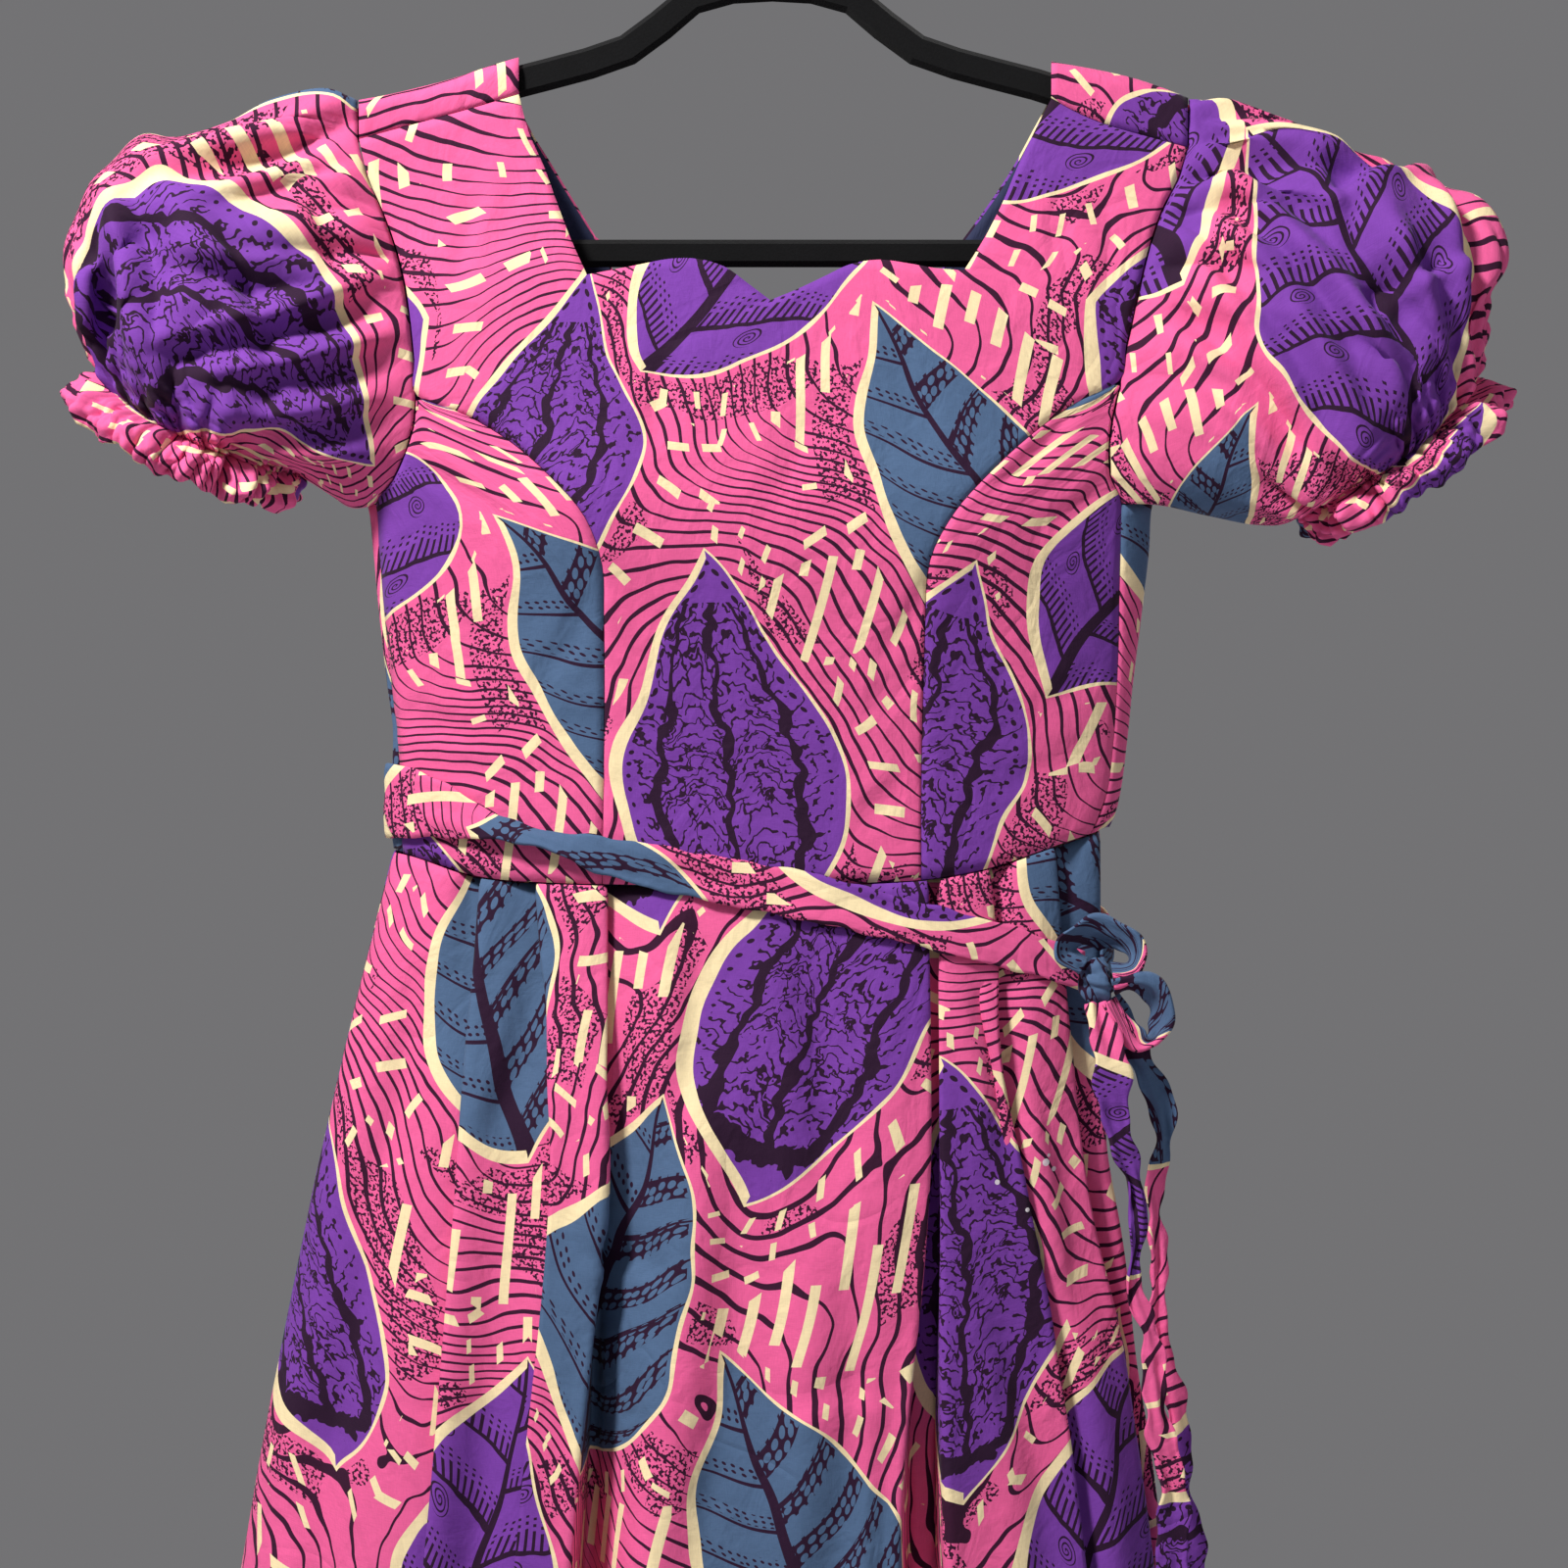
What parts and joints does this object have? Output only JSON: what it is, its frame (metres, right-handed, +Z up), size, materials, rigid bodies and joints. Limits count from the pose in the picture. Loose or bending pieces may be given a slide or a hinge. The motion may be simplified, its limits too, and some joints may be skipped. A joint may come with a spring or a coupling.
{
  "type": "dress on a hanger",
  "caption": "Flared dress with puff sleeves, a sweetheart neck, a pleated skirt and a sash tied at one side, held on a flocked hanger with a trouser bar.",
  "frame": {"origin": "inside top of the hanger's hook, where a rail holds it", "axes": "+Z up, -Y the front of the dress, +X to the right as the front is seen"},
  "size_m": [0.6803, 0.1812, 1.1439],
  "materials": {
    "navy_facing": "plain navy cotton",
    "wax_print": "wax printed cotton, pink with purple and slate leaves",
    "hanger_flock": "black velvet flocking",
    "hook_wire": "bright plated wire"
  },
  "bodies": {
    "root": {"back_neck_facing": "navy_facing", "bodice_back_left": "wax_print", "bodice_back_right": "wax_print", "bodice_front_centre": "wax_print", "bodice_front_side_left": "wax_print", "bodice_front_side_right": "wax_print", "bow_knot": "wax_print", "bow_loop_side": "wax_print", "bow_loop_upper": "wax_print", "hanger": "hanger_flock", "hanger_hook": "hook_wire", "sash": "wax_print", "sash_tail_back": "wax_print", "sash_tail_front": "wax_print", "skirt_back": "wax_print", "skirt_front": "wax_print", "sleeve_frill_left": "wax_print", "sleeve_frill_right": "wax_print", "sleeve_left": "wax_print", "sleeve_right": "wax_print"}
  },
  "joints": []
}
